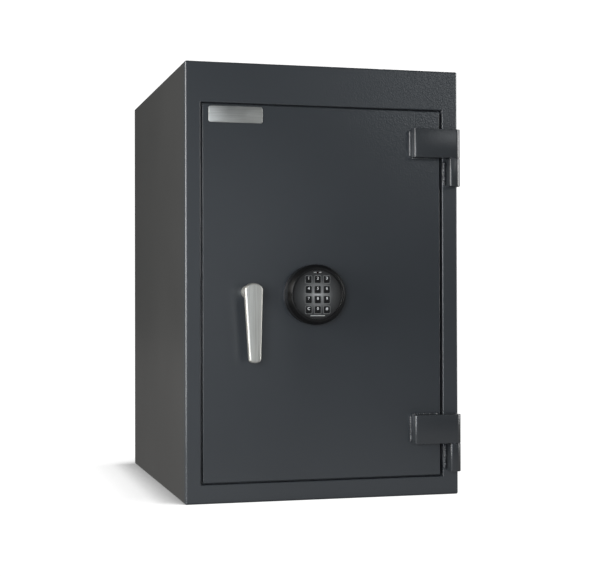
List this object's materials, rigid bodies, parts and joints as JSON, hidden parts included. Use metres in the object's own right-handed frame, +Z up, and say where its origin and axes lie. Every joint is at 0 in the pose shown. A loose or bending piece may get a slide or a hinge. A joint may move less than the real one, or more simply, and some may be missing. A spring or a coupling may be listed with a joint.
{
  "type": "free-standing burglary safe",
  "caption": "Free-standing plate steel burglary safe with a flush door on outside hinges, a lever handle working round locking bolts, and a round electronic keypad.",
  "frame": {"origin": "centre of the cabinet's footprint, on the floor", "axes": "+Z up, -Y out of the door, +X to the right seen from the front (hinge side)"},
  "size_m": [0.498, 0.663, 0.762],
  "materials": {
    "cabinet_paint": "dark charcoal powder coat with a fine texture",
    "door_paint": "dark charcoal powder coat, semi-gloss",
    "shelf_paint": "smooth grey paint",
    "pin_steel": "turned steel",
    "washer_steel": "ground steel",
    "bar_steel": "oiled hot-rolled steel",
    "hard_steel": "black hardened plate",
    "zinc_plate": "zinc plated sheet",
    "bolt_chrome": "polished round bolts",
    "screw_zinc": "zinc plated screws",
    "screw_black": "black oxide screws",
    "lock_cast": "die-cast lock body",
    "lever_metal": "vertically brushed satin lever",
    "brass": "turned brass",
    "coil_copper": "wound coil",
    "circuit": "green circuit board",
    "black_plastic": "glossy black moulding",
    "face_plate": "dark grey metallic face with light grid lines",
    "key_rubber": "black keys with white marks",
    "lamp": "small red lamp",
    "battery_case": "nine-volt block",
    "cable_black": "flexible cable sheath",
    "plate_satin": "blank satin plate",
    "spring_steel": "bright spring wire"
  },
  "bodies": {
    "cabinet": {"body_shell": "cabinet_paint", "back_plate": "cabinet_paint", "front_frame": "cabinet_paint", "door_stop": "cabinet_paint", "frame_knuckle_top": "cabinet_paint", "frame_knuckle_bottom": "cabinet_paint", "hinge_pin_top": "pin_steel", "hinge_pin_bottom": "pin_steel", "hinge_washers": "washer_steel", "shelf": "shelf_paint", "shelf_brackets": "cabinet_paint"},
    "door": {"door_plate": "door_paint", "door_leaf_top": "door_paint", "door_leaf_bottom": "door_paint", "dead_bar": "bar_steel", "bolt_guide": "zinc_plate", "guide_posts": "zinc_plate", "hard_plate": "hard_steel", "lock_case": "lock_cast", "lock_cover": "zinc_plate", "lock_pivot": "pin_steel", "lock_solenoid": "coil_copper", "lock_board": "circuit", "lock_screws": "screw_zinc", "spindle_bush": "brass", "keypad_base": "black_plastic", "keypad_screws": "screw_zinc", "battery": "battery_case", "keypad_cable": "cable_black", "relock_bracket": "zinc_plate", "nameplate": "plate_satin"},
    "handle": {"handle_lever": "lever_metal", "handle_spindle": "pin_steel", "handle_set_screw": "screw_black", "cam_arm": "bar_steel", "cam_pin": "zinc_plate", "spindle_nut": "screw_zinc"},
    "boltwork": {"bolt_carriage": "zinc_plate", "locking_bolts": "bolt_chrome", "bolt_screws": "screw_black"},
    "swing_bolt": {"lock_swing_bolt": "bar_steel"},
    "solenoid_plunger": {"lock_plunger": "bar_steel"},
    "relocker": {"relock_pin": "bar_steel", "relock_spring": "spring_steel"},
    "keypad": {"keypad_housing": "black_plastic", "keypad_face": "face_plate", "keypad_board": "circuit", "keypad_light": "lamp"},
    "button_1": {"key_1": "key_rubber"},
    "button_2": {"key_2": "key_rubber"},
    "button_3": {"key_3": "key_rubber"},
    "button_4": {"key_4": "key_rubber"},
    "button_5": {"key_5": "key_rubber"},
    "button_6": {"key_6": "key_rubber"},
    "button_7": {"key_7": "key_rubber"},
    "button_8": {"key_8": "key_rubber"},
    "button_9": {"key_9": "key_rubber"},
    "button_clear": {"key_clear": "key_rubber"},
    "button_0": {"key_0": "key_rubber"},
    "button_enter": {"key_enter": "key_rubber"}
  },
  "joints": [
    {"name": "door_hinge", "type": "hinge", "parent": "cabinet", "child": "door", "pos_m": [0.238, -0.318, 0.38], "axis": [0, 0, 1], "range_deg": [0, 175]},
    {"name": "handle_turn", "type": "hinge", "parent": "door", "child": "handle", "pos_m": [-0.1395, -0.3065, 0.364], "axis": [0, 1, 0], "range_deg": [0, 60]},
    {"name": "bolt_slide", "type": "slide", "parent": "door", "child": "boltwork", "axis": [-1, 0, 0], "range_m": [0, 0.025]},
    {"name": "lock_bolt_swing", "type": "hinge", "parent": "door", "child": "swing_bolt", "pos_m": [-0.066, -0.2725, 0.3715], "axis": [0, 1, 0], "range_deg": [0, 60]},
    {"name": "solenoid_pull", "type": "slide", "parent": "door", "child": "solenoid_plunger", "axis": [1, 0, 0], "range_m": [0, 0.003]},
    {"name": "relocker_fire", "type": "slide", "parent": "door", "child": "relocker", "axis": [0, 0, 1], "range_m": [0, 0.008], "deforming": ["relock_spring"]},
    {"name": "keypad_pull", "type": "slide", "parent": "door", "child": "keypad", "axis": [0, -1, 0], "range_m": [0, 0.045]},
    {"name": "press_1", "type": "slide", "parent": "keypad", "child": "button_1", "axis": [0, 1, 0], "range_m": [0, 0.0012], "stiffness_N_per_m": 800},
    {"name": "press_2", "type": "slide", "parent": "keypad", "child": "button_2", "axis": [0, 1, 0], "range_m": [0, 0.0012], "stiffness_N_per_m": 800},
    {"name": "press_3", "type": "slide", "parent": "keypad", "child": "button_3", "axis": [0, 1, 0], "range_m": [0, 0.0012], "stiffness_N_per_m": 800},
    {"name": "press_4", "type": "slide", "parent": "keypad", "child": "button_4", "axis": [0, 1, 0], "range_m": [0, 0.0012], "stiffness_N_per_m": 800},
    {"name": "press_5", "type": "slide", "parent": "keypad", "child": "button_5", "axis": [0, 1, 0], "range_m": [0, 0.0012], "stiffness_N_per_m": 800},
    {"name": "press_6", "type": "slide", "parent": "keypad", "child": "button_6", "axis": [0, 1, 0], "range_m": [0, 0.0012], "stiffness_N_per_m": 800},
    {"name": "press_7", "type": "slide", "parent": "keypad", "child": "button_7", "axis": [0, 1, 0], "range_m": [0, 0.0012], "stiffness_N_per_m": 800},
    {"name": "press_8", "type": "slide", "parent": "keypad", "child": "button_8", "axis": [0, 1, 0], "range_m": [0, 0.0012], "stiffness_N_per_m": 800},
    {"name": "press_9", "type": "slide", "parent": "keypad", "child": "button_9", "axis": [0, 1, 0], "range_m": [0, 0.0012], "stiffness_N_per_m": 800},
    {"name": "press_clear", "type": "slide", "parent": "keypad", "child": "button_clear", "axis": [0, 1, 0], "range_m": [0, 0.0012], "stiffness_N_per_m": 800},
    {"name": "press_0", "type": "slide", "parent": "keypad", "child": "button_0", "axis": [0, 1, 0], "range_m": [0, 0.0012], "stiffness_N_per_m": 800},
    {"name": "press_enter", "type": "slide", "parent": "keypad", "child": "button_enter", "axis": [0, 1, 0], "range_m": [0, 0.0012], "stiffness_N_per_m": 800}
  ],
  "couplings": [
    {"joint": "bolt_slide", "follows": "handle_turn", "m_per_rad": 0.02387},
    {"joint": "lock_bolt_swing", "follows": "handle_turn", "ratio": 1}
  ]
}
